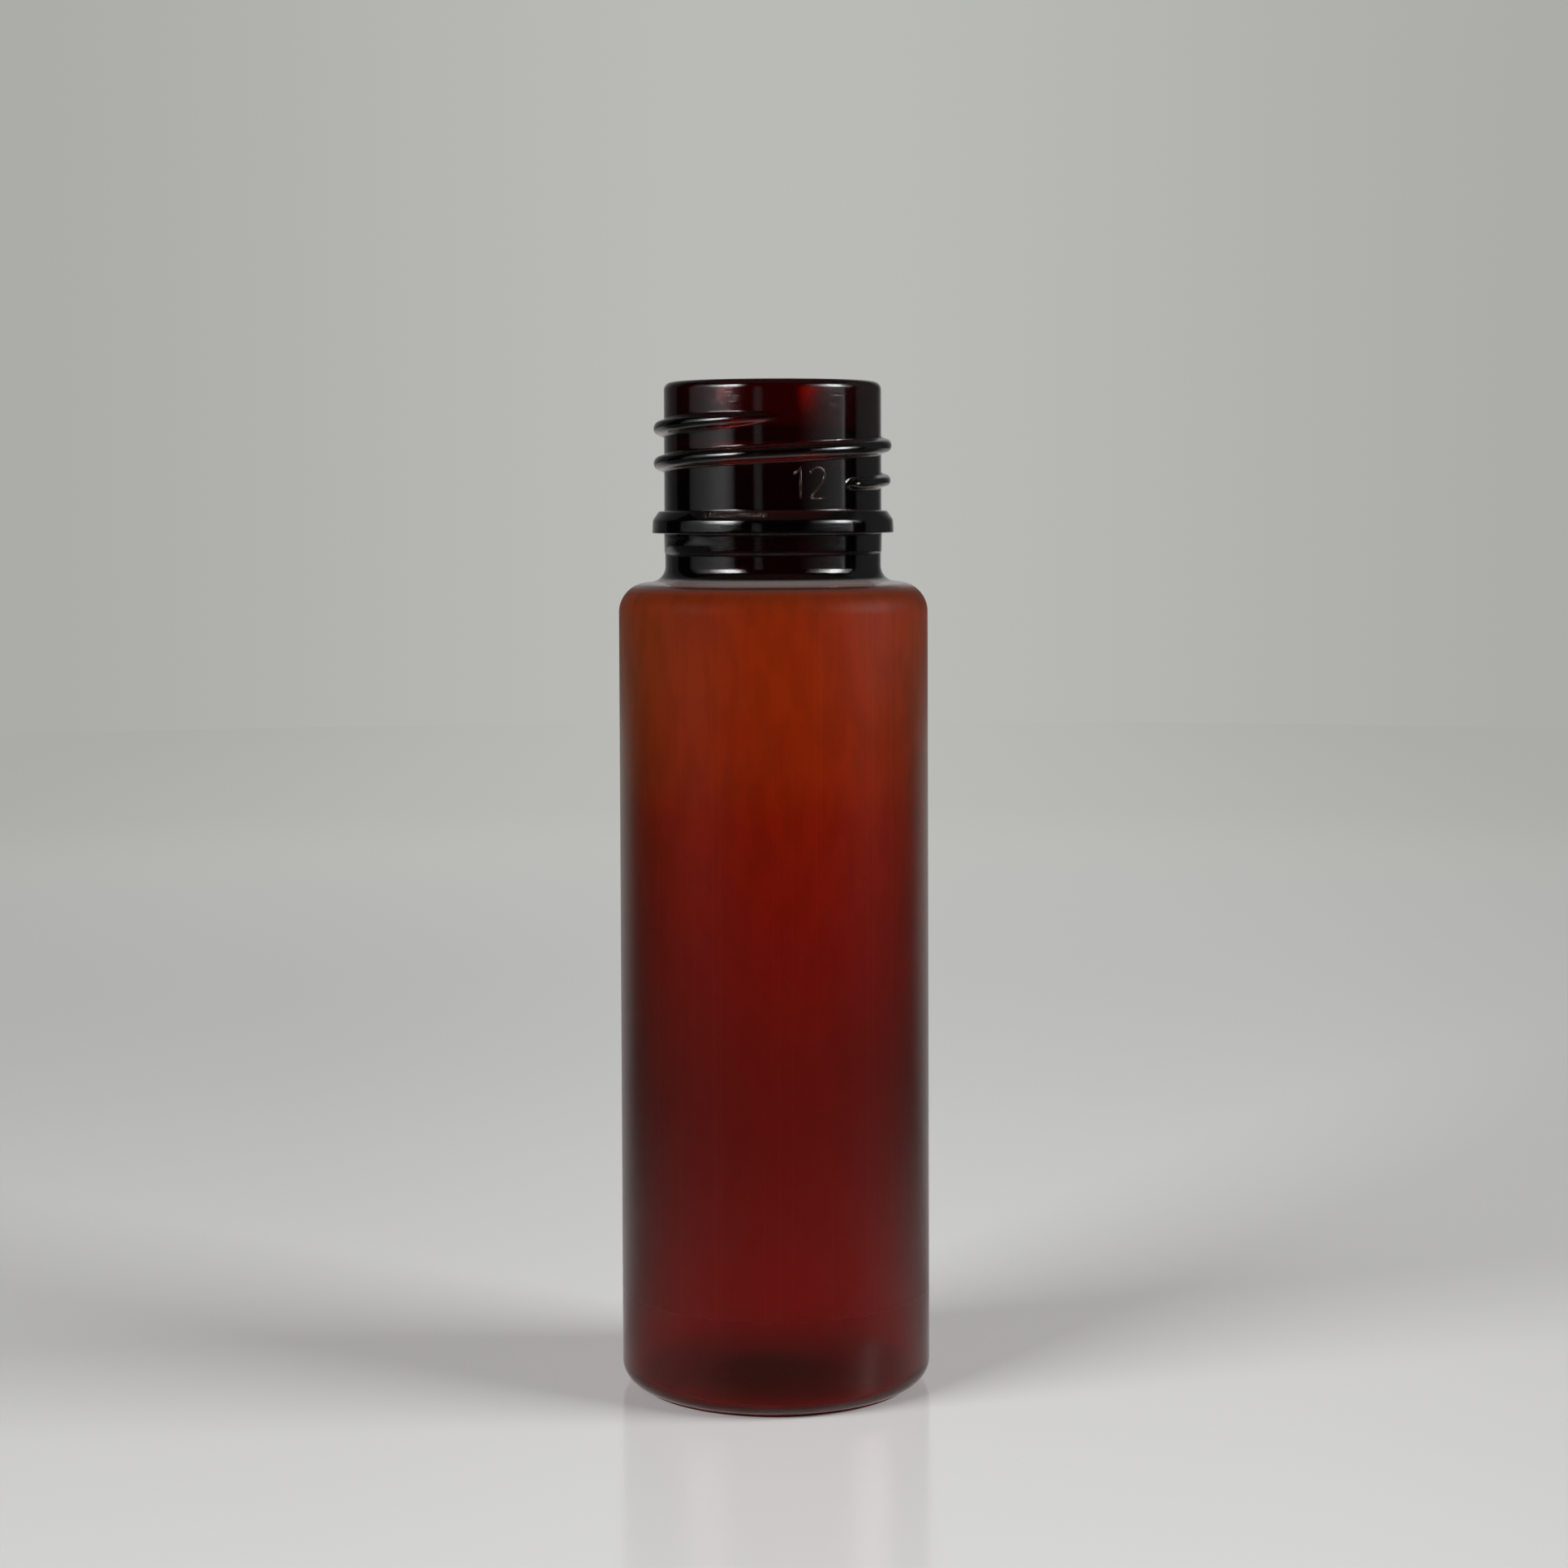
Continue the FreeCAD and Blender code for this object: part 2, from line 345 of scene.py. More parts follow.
# %% [markdown]
# ### The backdrop
#
# The world is the backdrop for rays that look at it, straight or through the plastic. As a
# source of light it is weak, so that the shadows of the two windows stay deep.

# %% Backdrop
ROOM_GLOW = 0.12

world = bpy.data.worlds.new("studio")
world.use_nodes = True
bpy.context.scene.world = world
tree = world.node_tree
tree.nodes.clear()
direction = add(tree, "ShaderNodeTexCoord").outputs["Generated"]
across = add(tree, "ShaderNodeSeparateXYZ", Vector=direction).outputs["X"]
seen = add(tree, "ShaderNodeBackground", Color=shaded(tree, BACKDROP, side_shade(tree, across)))
room = add(tree, "ShaderNodeBackground", Color=(*BACKDROP, 1.0), Strength=ROOM_GLOW)
looks = rays_of(tree, "Is Camera Ray", "Is Transmission Ray")
light = mixed(tree, looks, room.outputs[0], seen.outputs[0])
add(tree, "ShaderNodeOutputWorld", Surface=light)
print("world nodes", len(tree.nodes))

# %% [markdown]
# ## Two windows
#
# Two wide lamps light the scene, low on the left and on the right. Their soft shadows fall back
# to the right and out to the left. On a round neck a lamp at an angle shows at half that angle,
# so the angles are read off the shadows and the highlights of the photo.

# %% Lamps
NECK_HEIGHT = 0.088
WINDOW_WIDTH, WINDOW_HEIGHT = math.radians(34), math.radians(20)
WINDOW_ELEVATION = 19
WINDOW_BRIGHTNESS = 18.4


def towards(azimuth, elevation):
    """A direction from the bottle in degrees, with the azimuth from the camera's side to +X."""
    across, up = math.radians(azimuth), math.radians(elevation)
    return Vector((math.sin(across) * math.cos(up), -math.cos(across) * math.cos(up), math.sin(up)))


def add_window(name, azimuth):
    """A rectangular lamp a metre from the neck, which it faces."""
    lamp = bpy.data.lights.new(name, "AREA")
    lamp.shape = "RECTANGLE"
    lamp.size = 2 * math.tan(WINDOW_WIDTH / 2)
    lamp.size_y = 2 * math.tan(WINDOW_HEIGHT / 2)
    lamp.energy = WINDOW_BRIGHTNESS * math.pi * lamp.size * lamp.size_y
    window = bpy.data.objects.new(name, lamp)
    bpy.context.collection.objects.link(window)
    side = towards(azimuth, WINDOW_ELEVATION)
    window.location = Vector((0, 0, NECK_HEIGHT)) + side
    window.rotation_euler = side.to_track_quat("Z", "Y").to_euler()
    window.visible_camera = False
    window.visible_glossy = False


add_window("left_window", -53)
add_window("right_window", 75)

# %% [markdown]
# ## What the gloss mirrors
#
# The glossy neck is a round mirror. It shows two bright window panes, a dim wall under each, a
# dark room in front, and the pale backdrop at its own edges. All that is painted on one tall
# drum around the bottle, which only mirrored rays can see. The paint is a ramp over the angle,
# with one ramp for the walls, one for the panes and one for the backdrop.

# %% Paint of the drum
# Azimuth in degrees from the camera's side to +X, and brightness
WALLS = [
    (-99, 0.0), (-96, 0.16), (-75, 0.42), (-54, 0.85), (-46, 0.55), (-41, 0.2), (-40, 0.0),
    (-20, 0.0), (-18, 0.22), (-12, 0.22), (-10, 0.0),
    (28, 0.0), (50, 0.16), (65, 0.3), (77, 0.42), (79, 0.9), (81, 0.9), (82, 0.0),
]
PANES = [
    (-98, 0.0), (-88, 0.02), (-72, 0.07), (-60, 0.4), (-51, 1.0), (-40, 0.9), (-34, 0.15),
    (-28, 0.0),
    (36, 0.0), (48, 0.08), (60, 0.45), (66, 1.0), (75, 0.9), (83, 0.12), (94, 0.0),
]
BACKDROP_SIDES = [
    (-180, 0.45), (-169, 0.28), (-150, 0.14), (-134, 0.06), (-122, 0.05), (-120, 0.0),
    (98, 0.0), (100, 0.12), (110, 0.12), (125, 0.09), (145, 0.05), (157, 0.12), (168, 0.35),
    (180, 0.45),
]
PANE_BRIGHTNESS = 16.0
DARK_ROOM = 0.008
DAYLIGHT = (0.97, 0.985, 1.0, 1.0)
# Elevations in degrees, seen from the neck, between which each part begins or ends
WALL_FOOT = (-3.6, -2.6)
PANE_FOOT = (4.5, 10.5)
PANE_TOP = (24, 34)
print("paint stops", len(WALLS), len(PANES), len(BACKDROP_SIDES))

# %% Mirror drum
DRUM_RADIUS = 1.3
DRUM_FOOT, DRUM_TOP = -0.2, 1.3


def painted(tree, share, stops):
    """The brightness around the drum, from stops with azimuths in degrees."""
    return ramp(tree, share, [(azimuth / 360 + 0.5, value) for azimuth, value in stops])


def on_drum(elevations):
    """The heights on the drum at two elevations seen from the neck."""
    return tuple(NECK_HEIGHT + DRUM_RADIUS * math.tan(math.radians(up)) for up in elevations)


drum_finish, tree, output = new_material("mirror_drum")
place, parts = object_place(tree)
turned = add(tree, "ShaderNodeMapping", Rotation=(0, 0, math.radians(90)), Vector=place)
share = add(tree, "ShaderNodeTexGradient", {"gradient_type": "RADIAL"},
            Vector=turned.outputs["Vector"]).outputs["Fac"]

over_floor = map_range(tree, parts["Z"], on_drum(WALL_FOOT))
at_pane = map_range(tree, parts["Z"], on_drum(PANE_FOOT))
under_top = map_range(tree, parts["Z"], on_drum(PANE_TOP), (1.0, 0.0))
walls = product(tree, painted(tree, share, WALLS),
                math_node(tree, "SUBTRACT", over_floor, at_pane))
panes = product(tree, painted(tree, share, PANES), at_pane, under_top, PANE_BRIGHTNESS)
total = math_node(tree, "ADD", math_node(tree, "ADD", walls, panes),
                  painted(tree, share, BACKDROP_SIDES))
total = math_node(tree, "ADD", total, DARK_ROOM)

glow = add(tree, "ShaderNodeEmission", Color=DAYLIGHT, Strength=total)
clear = add(tree, "ShaderNodeBsdfTransparent")
seen = mixed(tree, rays_of(tree, "Is Glossy Ray"), clear.outputs[0], glow.outputs[0])
feed(tree, seen, output.inputs["Surface"])

drum = bmesh.new()
bmesh.ops.create_cone(drum, cap_ends=False, segments=96, radius1=DRUM_RADIUS,
                      radius2=DRUM_RADIUS, depth=DRUM_TOP - DRUM_FOOT)
bmesh.ops.translate(drum, verts=drum.verts, vec=(0, 0, (DRUM_TOP + DRUM_FOOT) / 2))
bmesh.ops.reverse_faces(drum, faces=drum.faces)
piece = new_object("mirror_drum", drum, drum_finish)
print("drum from", DRUM_FOOT, "to", DRUM_TOP, "m")

# %% [markdown]
# ## The sizes of the bottle
#
# A 24 mm screw neck has fixed sizes: the neck, the thread, the bead and the height of its flat
# underside below the rim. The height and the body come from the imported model, so that the shell
# fits it to the last digit. All sizes are in millimetres here and become metres at the end.

# %% Sizes of the bottle
MM = 0.001
HEIGHT = high.z / MM
BODY = high.x / MM
NECK = 10.9
LOWER_NECK = 10.83
BORE = 9.3
LOWER_BORE = 8.4
BEAD = 12.12
UNDERSIDE = HEIGHT - 15.1
BEAD_TOP = UNDERSIDE + 2.2
CROWN = UNDERSIDE - 4.73
CROWN_EDGE = CROWN - 0.53
RING = BODY - 1.75
RING_INSIDE = RING - 0.9
PUSH_EDGE = RING_INSIDE - 0.4
print("height", round(HEIGHT, 2), "mm, body", round(2 * BODY, 2), "mm")

# %% [markdown]
# ## The outline of the wall
#
# A bottle is a turned shape, so its wall is drawn once, as a loop from the middle of the base
# out and up to the rim, and back down the inside. Each corner is a plain point, and a bevel of
# that point gives the corner its round, as a mould maker would call it out on a drawing.
#
# The body's wall is not even. Blowing stretches the plastic most under the shoulder, so it is
# 0.3 mm thin there and three times that low down, which takes the colour from orange to dark
# red. The neck is thick from under the first turns of the thread, so it looks black there.

# %% Corners of the outline
# Each corner is a radius, a height, a bevel along its edges and the bevel's steps
OUTSIDE = [
    (0.0, 1.55, 0, 0),
    (1.3, 1.55, 0.12, 2),
    (1.3, 1.9, 0.12, 2),
    (PUSH_EDGE, 0.6, 0.5, 4),
    (RING_INSIDE, 0.0, 0.12, 3),
    (RING, 0.0, 0.05, 2),
    (RING, 0.25, 0.10, 3),
    (BODY, 0.55, 1.66, 16),
    (BODY, CROWN_EDGE, 2.62, 20),
    (LOWER_NECK, CROWN, 1.38, 14),
    (LOWER_NECK, UNDERSIDE - 2.05, 0.08, 3),
    (LOWER_NECK + 0.07, UNDERSIDE - 1.9, 0.08, 3),
    (LOWER_NECK + 0.11, UNDERSIDE, 0.10, 3),
    (BEAD, UNDERSIDE, 0.06, 3),
    (BEAD - 0.02, UNDERSIDE + 0.65, 0.3, 3),
    (BEAD - 0.06, BEAD_TOP - 0.9, 0.10, 3),
    (BEAD - 0.67, BEAD_TOP, 0.14, 3),
    (NECK, BEAD_TOP, 0.12, 4),
    (NECK, HEIGHT, 0.8, 10),
]
INSIDE = [
    (BORE, HEIGHT, 0.35, 4),
    (BORE, HEIGHT - 7.2, 1.2, 4),
    (LOWER_BORE, HEIGHT - 9.0, 1.2, 4),
    (LOWER_BORE, CROWN - 0.6, 2.2, 12),
    (BODY - 0.30, CROWN_EDGE - 0.45, 2.35, 14),
    (BODY - 0.49, 50.0, 8.0, 5),
    (BODY - 0.96, 27.0, 7.0, 5),
    (BODY - 0.74, 12.0, 2.5, 5),
    (BODY - 0.52, 0.95, 1.6, 12),
    (PUSH_EDGE, 1.1, 0.6, 4),
    (6.0, 1.95, 2.0, 4),
    (0.0, 3.3, 0, 0),
]
print("corners", len(OUTSIDE), "outside,", len(INSIDE), "inside")


# %% The wall's outline as a bent wire
def outline_wire(corners):
    """A wire through the corners in the XZ plane, with each corner rounded by its bevel."""
    wire = bmesh.new()
    points = [wire.verts.new((radius, 0, height)) for radius, height, _, _ in corners]
    for first, second in zip(points, points[1:]):
        wire.edges.new((first, second))
    for point, (_, _, offset, steps) in zip(points, corners):
        if offset:
            bmesh.ops.bevel(wire, geom=[point], offset=offset, offset_type="OFFSET",
                            segments=steps, profile=0.5, affect="VERTICES", material=-1)
    return wire


wall = outline_wire(OUTSIDE + INSIDE)
print("outline points", len(wall.verts))

# %% [markdown]
# Long straight stretches get more points, so that the wall can be shaped along them later: few
# on the body, and very many on the neck, where the thread will rise out of the wall.

# %% Cut the long stretches
def cut_stretch(wire, radius, low_z, high_z, step):
    """Cut the straight edges of the wire near a radius, between two heights, into equal steps."""
    for edge in list(wire.edges):
        middle = (edge.verts[0].co + edge.verts[1].co) / 2
        is_there = abs(middle.x - radius) < 0.6 and low_z < middle.z < high_z
        if is_there and edge.calc_length() > 2 * step:
            bmesh.ops.subdivide_edges(wire, edges=[edge], cuts=int(edge.calc_length() / step))


cut_stretch(wall, NECK, BEAD_TOP + 1, HEIGHT, 0.09)
cut_stretch(wall, BODY - 0.4, 4, 76, 4.0)
cut_stretch(wall, LOWER_NECK, CROWN + 1, UNDERSIDE, 0.2)
print("outline points", len(wall.verts))

# %% [markdown]
# ## Turn the wall
#
# Spin with use_merge closes the last step onto the first. The points on the axis are then many
# points in one place, so they are merged too, and the shell is closed: no gap for light to slip
# through. The normals are worked out once, on the closed shell, so that the outside faces out
# and the inside faces into the hollow.

# %% Spin
STEPS = 240
MERGE_WITHIN = 0.0005

bmesh.ops.spin(wall, geom=list(wall.verts) + list(wall.edges), cent=(0, 0, 0), axis=(0, 0, 1),
               angle=2 * math.pi, steps=STEPS, use_merge=True)
bmesh.ops.remove_doubles(wall, verts=wall.verts, dist=MERGE_WITHIN)
bmesh.ops.recalc_face_normals(wall, faces=wall.faces)
open_edges = [edge for edge in wall.edges if not edge.is_manifold]
print("shell", len(wall.faces), "faces,", len(open_edges), "open edges,",
      round(wall.calc_volume(signed=True)), "cubic millimetres")

# %% [markdown]
# ## The thread
#
# The ridge could be a separate coil joined with a boolean. But where two clear solids overlap,
# the light shows the hidden walls, and a boolean leaves a hard line at the root. So the ridge is
# raised out of the wall itself: each point of the neck moves outwards by the height that the
# thread has there. The section is a half round. Taking the mean of a few neighbouring heights
# softens its root, as the round tool that cut the mould did.
#
# The lower end starts slim and blunt. The upper end sinks back into the neck.

# %% Height of the ridge
PITCH = 3.5
TURNS = 1.735
THREAD_START = math.radians(-42)
THREAD_FOOT = HEIGHT - 10.3
THREAD_HEIGHT = 1.05
THREAD_ROUND = 0.74
# Run-outs in turns
UPPER_RUNOUT = 0.14
LOWER_RUNOUT = 0.20
END_BLUNTNESS = 0.5
SOFT_ROOT = (-0.10, -0.05, 0.0, 0.05, 0.10)


def half_round(offset, crest, radius):
    """The height of a round ridge at a distance from its middle, for a height of its crest."""
    if abs(offset) >= radius or crest <= 0:
        return 0.0
    return max(0.0, crest - radius + math.sqrt(radius ** 2 - offset ** 2))


def ridge_height(angle, height):
    """How far the thread stands out of the neck at an angle and a height."""
    best = 0.0
    share = ((angle - THREAD_START) / (2 * math.pi)) % 1.0
    for turn_number in (share - 1, share, share + 1):
        if turn_number > TURNS + UPPER_RUNOUT:
            continue
        past_end = max(0.0, -turn_number) * 2 * math.pi * NECK * END_BLUNTNESS
        slim = 1 - min(1.0, max(0.0, turn_number) / LOWER_RUNOUT)
        sink = max(0.0, (turn_number - TURNS) / UPPER_RUNOUT) ** 1.3
        middle = THREAD_FOOT + PITCH * max(0.0, turn_number)
        crest = THREAD_HEIGHT * (1 - sink) * (1 - 0.25 * slim)
        radius = THREAD_ROUND * (1 - 0.35 * slim) * (1 - 0.3 * sink)
        offsets = [math.hypot(height + soft - middle, past_end) for soft in SOFT_ROOT]
        ridge = sum(half_round(offset, crest, radius) for offset in offsets) / len(offsets)
        best = max(best, ridge)
    return best


print("thread", round(TURNS + UPPER_RUNOUT, 2), "turns")


# %% Raise the thread
def is_on_neck(place):
    """Whether a point is on the neck's outside, between the bead and the rim's round."""
    is_outside = abs(math.hypot(place.x, place.y) - NECK) < 0.002
    return is_outside and BEAD_TOP + 0.3 < place.z < HEIGHT - 0.8


raised = 0
for point in wall.verts:
    if is_on_neck(point.co):
        lift = ridge_height(math.atan2(point.co.y, point.co.x), point.co.z)
        point.co.xy *= 1 + lift / NECK
        raised += lift > 0
print("points raised for the thread", raised)

# %% [markdown]
# ## Small faults
#
# Two faults of the real bottle show. The hollow sits a little to the right of the middle, so the
# left wall is thicker and darker. And under the bead, on the left, the mould has left a lump.
# Both are made by moving points of the shell, because neither changes how its faces meet.

# %% Off-centre hollow
HOLLOW_SHIFT = 0.09
HOLLOW_FOOT, HOLLOW_TOP = 5, 78
HOLLOW_RADII = (14.2, BODY - 0.15)

moved = 0
for point in wall.verts:
    is_inside = HOLLOW_RADII[0] < math.hypot(point.co.x, point.co.y) < HOLLOW_RADII[1]
    if is_inside and HOLLOW_FOOT < point.co.z < HOLLOW_TOP:
        point.co.x += HOLLOW_SHIFT
        moved += 1
print("points moved for the hollow", moved)

# %% Lump under the bead
LUMP_ANGLE, LUMP_WIDTH = math.radians(210), math.radians(28)
LUMP_MIDDLE, LUMP_REACH = UNDERSIDE - 1.15, 1.15
LUMP_HEIGHT = 0.30


def lump_height(angle, height):
    """How far the lump stands out at an angle and a height."""
    away = math.hypot((angle - LUMP_ANGLE) / LUMP_WIDTH, (height - LUMP_MIDDLE) / LUMP_REACH)
    near = max(0.0, 1 - away)
    return LUMP_HEIGHT * near * near * (3 - 2 * near)


for point in wall.verts:
    radius = math.hypot(point.co.x, point.co.y)
    if abs(radius - LOWER_NECK) < 0.2 and UNDERSIDE - 2.3 < point.co.z < UNDERSIDE - 0.02:
        angle = math.atan2(point.co.y, point.co.x) % (2 * math.pi)
        point.co.xy *= 1 + lump_height(angle, point.co.z) / radius
print("lump", LUMP_HEIGHT, "mm high")

# %% [markdown]
# ## The plastic
#
# Amber PET is a clear plastic that swallows blue and green first and red last. The colour comes
# from the depth of plastic that the light crosses, so it is an absorption inside the closed
# shell: thin body walls glow orange, and the thick neck is nearly black. A tint on the surface
# alone would make thick and thin parts the same colour.

# %% Amber plastic
AMBER_DENSITY = 6900.0
AMBER_CLEAR = (0.855, 0.40, 0.06, 1.0)
PLASTIC_IOR = 1.57

amber, tree, output = new_material("amber_plastic")
plastic = add(tree, "ShaderNodeBsdfPrincipled", Base_Color=(1, 1, 1, 1), Roughness=0.2,
              IOR=PLASTIC_IOR, Transmission_Weight=1.0)
depth = add(tree, "ShaderNodeVolumeAbsorption", Color=AMBER_CLEAR, Density=AMBER_DENSITY)
feed(tree, plastic.outputs[0], output.inputs["Surface"])
feed(tree, depth.outputs[0], output.inputs["Volume"])
place, parts = object_place(tree)
height = parts["Z"]
print("light left after 1 mm", [round(math.exp(-AMBER_DENSITY * MM * (1 - share)), 3)
                                for share in AMBER_CLEAR[:3]])

# %% [markdown]
# ### Haze and mirror
#
# The moulded neck touched polished steel and is glossy. The blown body is hazy, most of all at
# the shoulder, and clearer at the heel, where the base shows through. The body also mirrors
# little, so the tint of its mirror is turned down, and a faint warm sheen lifts its edges. Most
# of this follows the height, so it is ramps over it. The two helpers work on the amber's own
# tree and take heights in millimetres, so that each ramp reads like a table of the bottle.

# %% Ramps over the height
RAMP_REACH = 100.0


def up_the_bottle(stops):
    """The colour on a ramp over the height, with the stops in millimetres."""
    share = product(tree, height, 1 / (RAMP_REACH * MM))
    return ramp(tree, share, [(level / RAMP_REACH, colour) for level, colour in stops])


def change_up(first, last, to_range=(0.0, 1.0)):
    """A value that changes smoothly between two heights in millimetres."""
    return map_range(tree, height, (first * MM, last * MM), to_range)


# %% Haze and mirror
haze = up_the_bottle([
    (1, 0.13), (5, 0.16), (10, 0.28), (66, 0.28), (76.5, 0.50), (CROWN - 0.9, 0.50),
    (CROWN - 0.4, 0.06)])
feed(tree, haze, plastic.inputs["Roughness"])

on_neck = change_up(CROWN - 1.3, CROWN - 0.6)
body_mirror = product(tree, change_up(12, 50, (0.12, 0.10)), change_up(56, 74, (1.0, 0.06)),
                      change_up(3, 10, (0.5, 1.0)))
feed(tree, math_node(tree, "MAXIMUM", body_mirror, on_neck), plastic.inputs["Specular Tint"])

plastic.inputs["Sheen Weight"].default_value = 0.12
plastic.inputs["Sheen Roughness"].default_value = 0.25
plastic.inputs["Sheen Tint"].default_value = (1.0, 0.62, 0.54, 1.0)
print("amber nodes with haze and mirror", len(tree.nodes))

# %% [markdown]
# ### Scuffs and milkiness
#
# Where the shoulder meets the neck, the real bottle has a pale scuffed band. Scratches scatter
# light, so the plastic there lets less of it through and shows some of it as a plain surface.
# The shoulder is slightly milky in the same way. Both lower the transmission a little.

# %% Scuffed crown and milky body
flat = add(tree, "ShaderNodeVectorMath", {"operation": "MULTIPLY"})
feed(tree, place, flat.inputs[0])
feed(tree, (1, 1, 0), flat.inputs[1])
off_neck = map_range(tree, distance_to(tree, flat.outputs[0]), (11.2 * MM, 11.7 * MM))
scuffed = product(tree, change_up(CROWN - 0.49, CROWN - 0.32, (0.0, 0.12)),
                  change_up(CROWN + 0.15, CROWN + 0.5, (1.0, 0.0)), off_neck)
milky = up_the_bottle([
    (0, 0.02), (8, 0.010), (58, 0.010), (78.5, 0.055), (CROWN_EDGE - 0.25, 0.055),
    (CROWN_EDGE, 0.0)])
scattered = math_node(tree, "MAXIMUM", scuffed, milky)
feed(tree, math_node(tree, "SUBTRACT", 1.0, scattered), plastic.inputs["Transmission Weight"])
print("scuffed from", round(CROWN - 0.49, 2), "to", round(CROWN + 0.5, 2), "mm")

# %% [markdown]
# ### Ripples in the colour
#
# Blown plastic is never even. The light shows slanted ripples under the shoulder, soft clouds
# and a few hair-thin upright lines. They are noise, stretched along the height, and each
# changes the depth of colour by a few hundredths. Noise on the object's own coordinates stays
# on the plastic when the bottle is turned.

# %% Noise
def noise(vector, scale, detail=2.0):
    """Plain noise at a scale."""
    return add(tree, "ShaderNodeTexNoise", Vector=vector, Scale=scale, Detail=detail).outputs["Fac"]


def stretched(scale, turn_y=0.0):
    """The place on the bottle, stretched along the axes and turned about Y."""
    node = add(tree, "ShaderNodeMapping", Scale=scale, Rotation=(0, turn_y, 0), Vector=place)
    return node.outputs["Vector"]


# %% Ripples, clouds and lines
ripple = noise(stretched((1.0, 1.0, 0.33), math.radians(14)), 620.0, 1.0)
ripple = product(tree, map_range(tree, ripple, (0.35, 0.65), (1.0, 0.0)),
                 change_up(30, 62, (-0.04, -0.13)))
cloud = noise(stretched((1.0, 1.0, 0.35)), 120.0)
cloud = map_range(tree, cloud, (0.3, 0.7), (0.935, 1.0))
line = noise(stretched((1.0, 1.0, 0.004)), 2600.0, 0.0)
line = map_range(tree, line, (0.70, 0.76), (1.0, 1.12))
depth_of_colour = product(tree, math_node(tree, "ADD", 1.0, ripple), cloud, line)
unevenness = product(tree, math_node(tree, "SUBTRACT", depth_of_colour, 1.0),
                     change_up(CROWN - 1.3, CROWN - 0.6, (1.0, 0.0)))
print("amber nodes with ripples", len(tree.nodes))

# %% [markdown]
# ### Tint over the height
#
# A ramp over the height tints the light once more on its way in and out. It is redder low down
# and more orange under the shoulder, on top of what the uneven wall already does, and it is
# white on the neck, where the depth of plastic gives all the colour that there is.

# %% Tint
tint = up_the_bottle([
    (0, (0.90, 0.22, 0.17)), (6, (0.92, 0.28, 0.22)), (20, (1.0, 0.36, 0.27)),
    (45, (1.0, 0.34, 0.18)), (60, (1.0, 0.42, 0.05)), (78.5, (1.0, 0.22, 0.03)),
    (CROWN_EDGE - 0.3, (1.0, 0.22, 0.03)), (CROWN_EDGE, (1.0, 0.80, 0.70)), (81.2, 1.0)])
feed(tree, shaded(tree, tint, math_node(tree, "ADD", 1.0, unevenness)),
     plastic.inputs["Base Color"])
print("amber nodes with tint", len(tree.nodes))

# %% [markdown]
# ### Rings and torn flash
#
# The neck has fine rings from the turned mould, worn most at the rim. On the front left, the
# bead's upper edge is torn where a cap's ring was broken off. Both are far finer than the
# mesh, so they are bumps in the gloss: noise squeezed along the height for the rings, and a
# small patch of coarse noise for the torn edge.

# %% Rings on the neck
rings = noise(stretched((1.0, 1.0, 26.0)), 420.0, 3.0)
worn = product(tree, change_up(94, 100, (0.45, 1.0)), on_neck, 0.13)
ring_bump = add(tree, "ShaderNodeBump", Distance=0.06 * MM, Strength=worn, Height=rings)

# %% Torn flash on the bead
along = band(tree, parts["X"], (-7.2 * MM, -6.2 * MM), (-1.2 * MM, 0.2 * MM))
edge = band(tree, height, ((BEAD_TOP - 0.62) * MM, (BEAD_TOP - 0.5) * MM),
            ((BEAD_TOP - 0.2) * MM, (BEAD_TOP - 0.08) * MM))
in_front = map_range(tree, parts["Y"], (-9.0 * MM, -8.5 * MM), (1.0, 0.0))
torn_bump = add(tree, "ShaderNodeBump", Distance=0.6 * MM,
                Strength=product(tree, along, edge, in_front),
                Height=noise(place, 3800.0, 1.0), Normal=ring_bump.outputs["Normal"])
feed(tree, torn_bump.outputs["Normal"], plastic.inputs["Normal"])
print("amber nodes with bumps", len(tree.nodes))

# %% [markdown]
# ## Finish the shell
#
# The shape is in millimetres and at its place, so it is scaled to metres inside its mesh, and
# the object itself stays unscaled at the origin. The shell then takes the place of the packed
# model's plain solid.

# %% Finish the shell
def finish_piece(name, shape, material):
    """A piece of the bottle from a shape in millimetres, with its place in its mesh."""
    bmesh.ops.scale(shape, vec=(MM, MM, MM), verts=shape.verts)
    for face in shape.faces:
        face.smooth = True
    piece = new_object(name, shape, material)
    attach(piece, "root")
    return piece


shell = finish_piece("bottle_shell", wall, amber)
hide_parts("bottle")
print("shell", len(shell.data.polygons), "faces")

# %% [markdown]
# ## A raised number
#
# Moulds carry a cavity number, cut into the steel with a round tool, so it stands out of the
# plastic as a thin round bead. A curve with a round bevel is just that. Its points are laid on
# the neck directly, and it is turned into a mesh before it joins the bottle.
#
# Clear beads inside a clear wall would bend the light and glint orange. The neck is too thick
# to see through there, so the number has a dark plastic of its own that shows only its gloss.

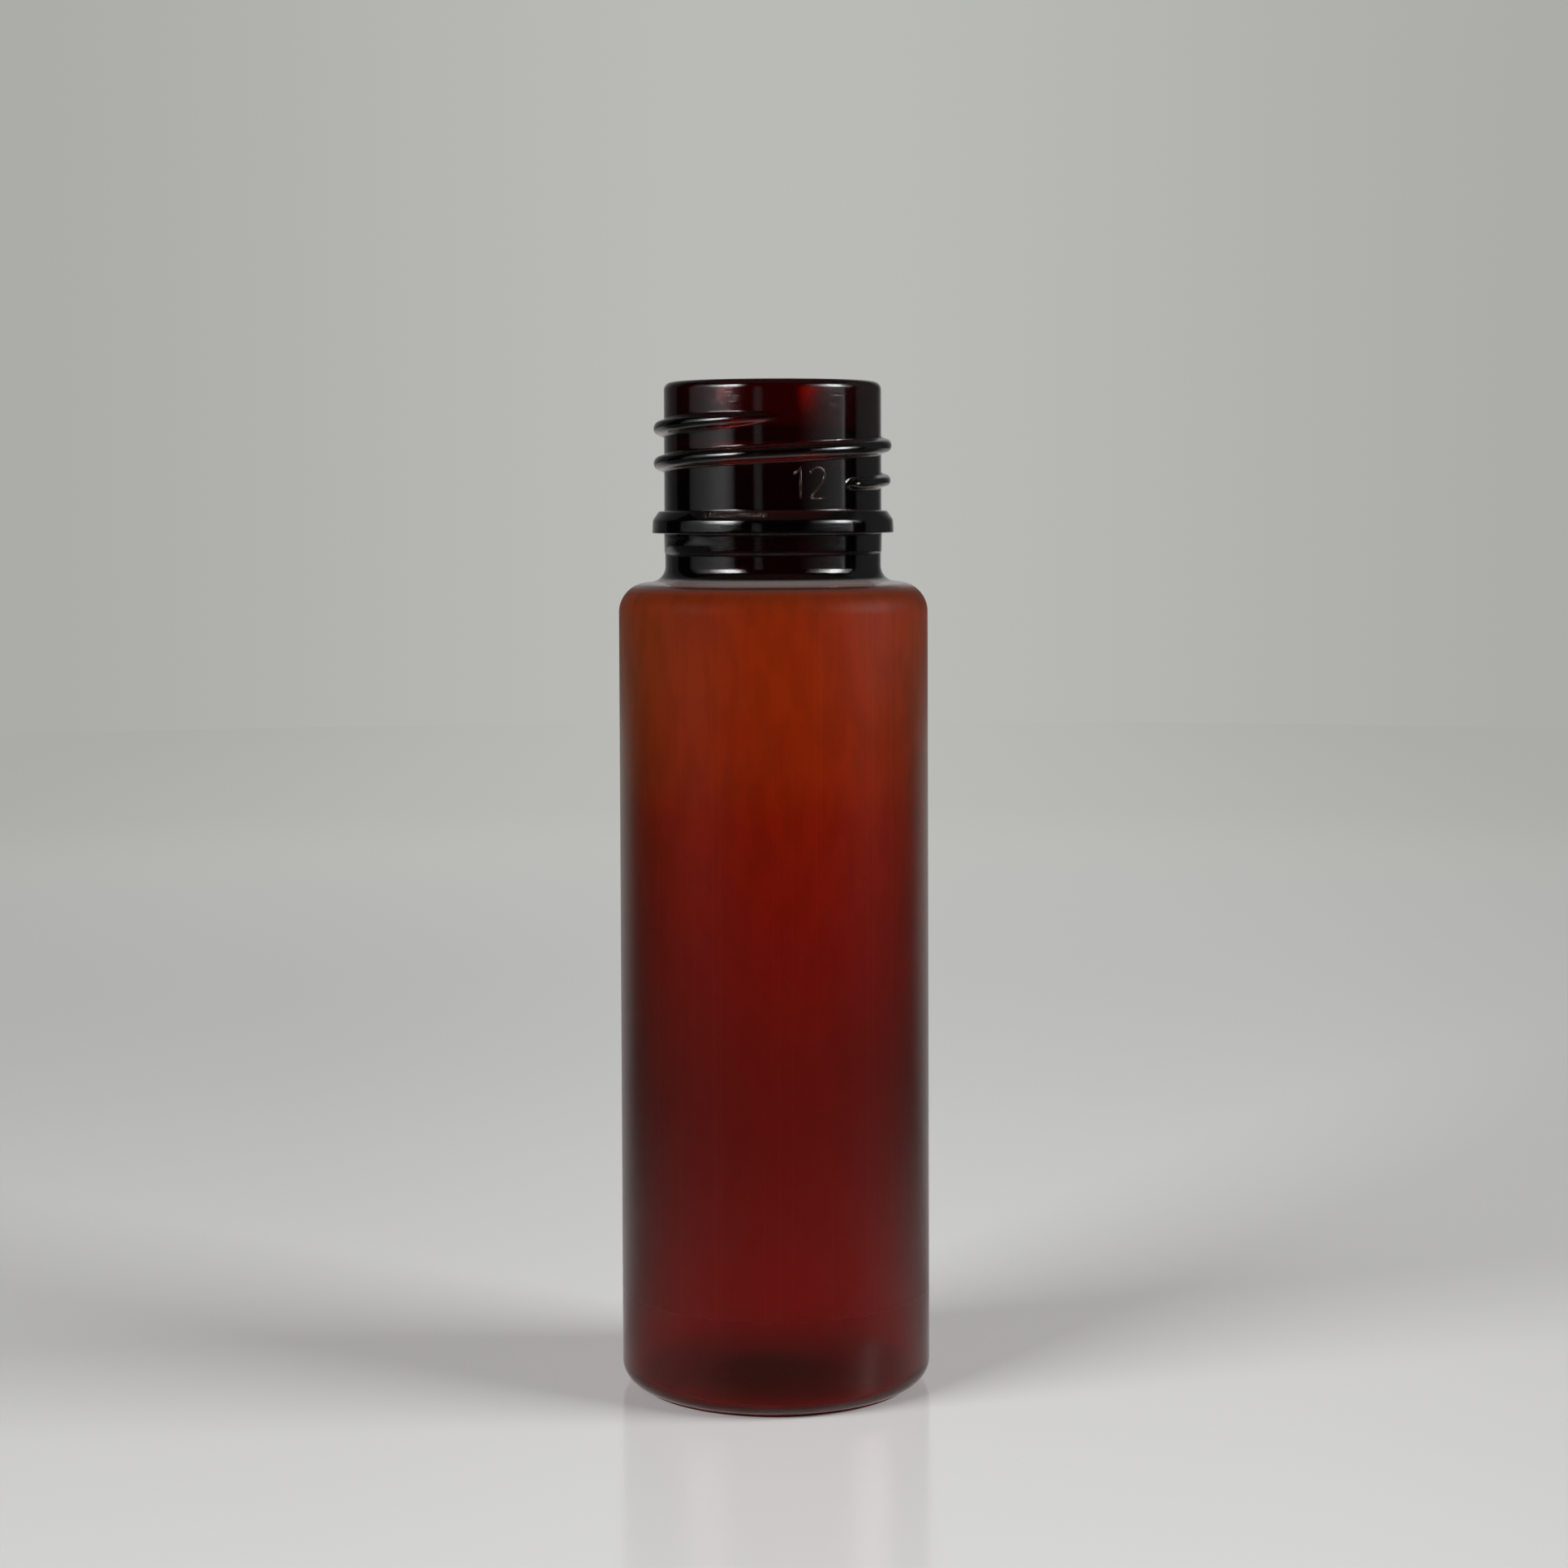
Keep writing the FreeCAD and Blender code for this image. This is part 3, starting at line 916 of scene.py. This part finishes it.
# %% Thick plastic
thick_amber, tree, output = new_material("thick_amber_plastic")
gloss = add(tree, "ShaderNodeBsdfPrincipled", Base_Color=(0.014, 0.006, 0.004, 1),
            Roughness=0.24, IOR=PLASTIC_IOR)
feed(tree, gloss.outputs[0], output.inputs["Surface"])
print("thick amber nodes", len(tree.nodes))

# %% Strokes of the number
# Places across and up on the unrolled neck, in millimetres
ONE = [(-1.45, 2.35), (-1.0, 2.7), (-0.75, 3.05), (-0.75, 1.5), (-0.75, 0.0)]
BOWL = [(1.0 + 0.78 * math.cos(math.radians(a)), 2.22 + 0.83 * math.sin(math.radians(a)))
        for a in range(165, -50, -15)]
TWO = BOWL + [(0.72, 0.62), (0.25, 0.0), (1.05, 0.0), (1.85, 0.0)]
NUMBER_ANGLE = math.radians(-90 + 18.5)
NUMBER_FOOT = 89.0
STROKE = 0.17
STROKE_SUNK = 0.07


def on_neck_surface(across, up):
    """A point just under the neck's surface, from a place on the unrolled neck."""
    angle = NUMBER_ANGLE + across / NECK
    radius = NECK - STROKE_SUNK
    x, y = radius * math.cos(angle) * MM, radius * math.sin(angle) * MM
    return (x, y, (NUMBER_FOOT + up) * MM, 1)


strokes = bpy.data.curves.new("neck_number", "CURVE")
strokes.dimensions = "3D"
strokes.bevel_depth = STROKE * MM
strokes.bevel_resolution = 3
strokes.use_fill_caps = True
for stroke in (ONE, TWO):
    spline = strokes.splines.new("POLY")
    spline.points.add(len(stroke) - 1)
    for point, (across, up) in zip(spline.points, stroke):
        point.co = on_neck_surface(across, up)
print("strokes", len(strokes.splines))

# %% The number as a mesh
drawn = bpy.data.objects.new("neck_number_curve", strokes)
number_shape = bmesh.new()
number_shape.from_mesh(bpy.data.meshes.new_from_object(drawn))
bpy.data.objects.remove(drawn)
bmesh.ops.remove_doubles(number_shape, verts=number_shape.verts, dist=1e-7)
bmesh.ops.recalc_face_normals(number_shape, faces=number_shape.faces)
bmesh.ops.scale(number_shape, vec=(1 / MM, 1 / MM, 1 / MM), verts=number_shape.verts)
number = finish_piece("neck_number", number_shape, thick_amber)
print("number", len(number.data.polygons), "faces")
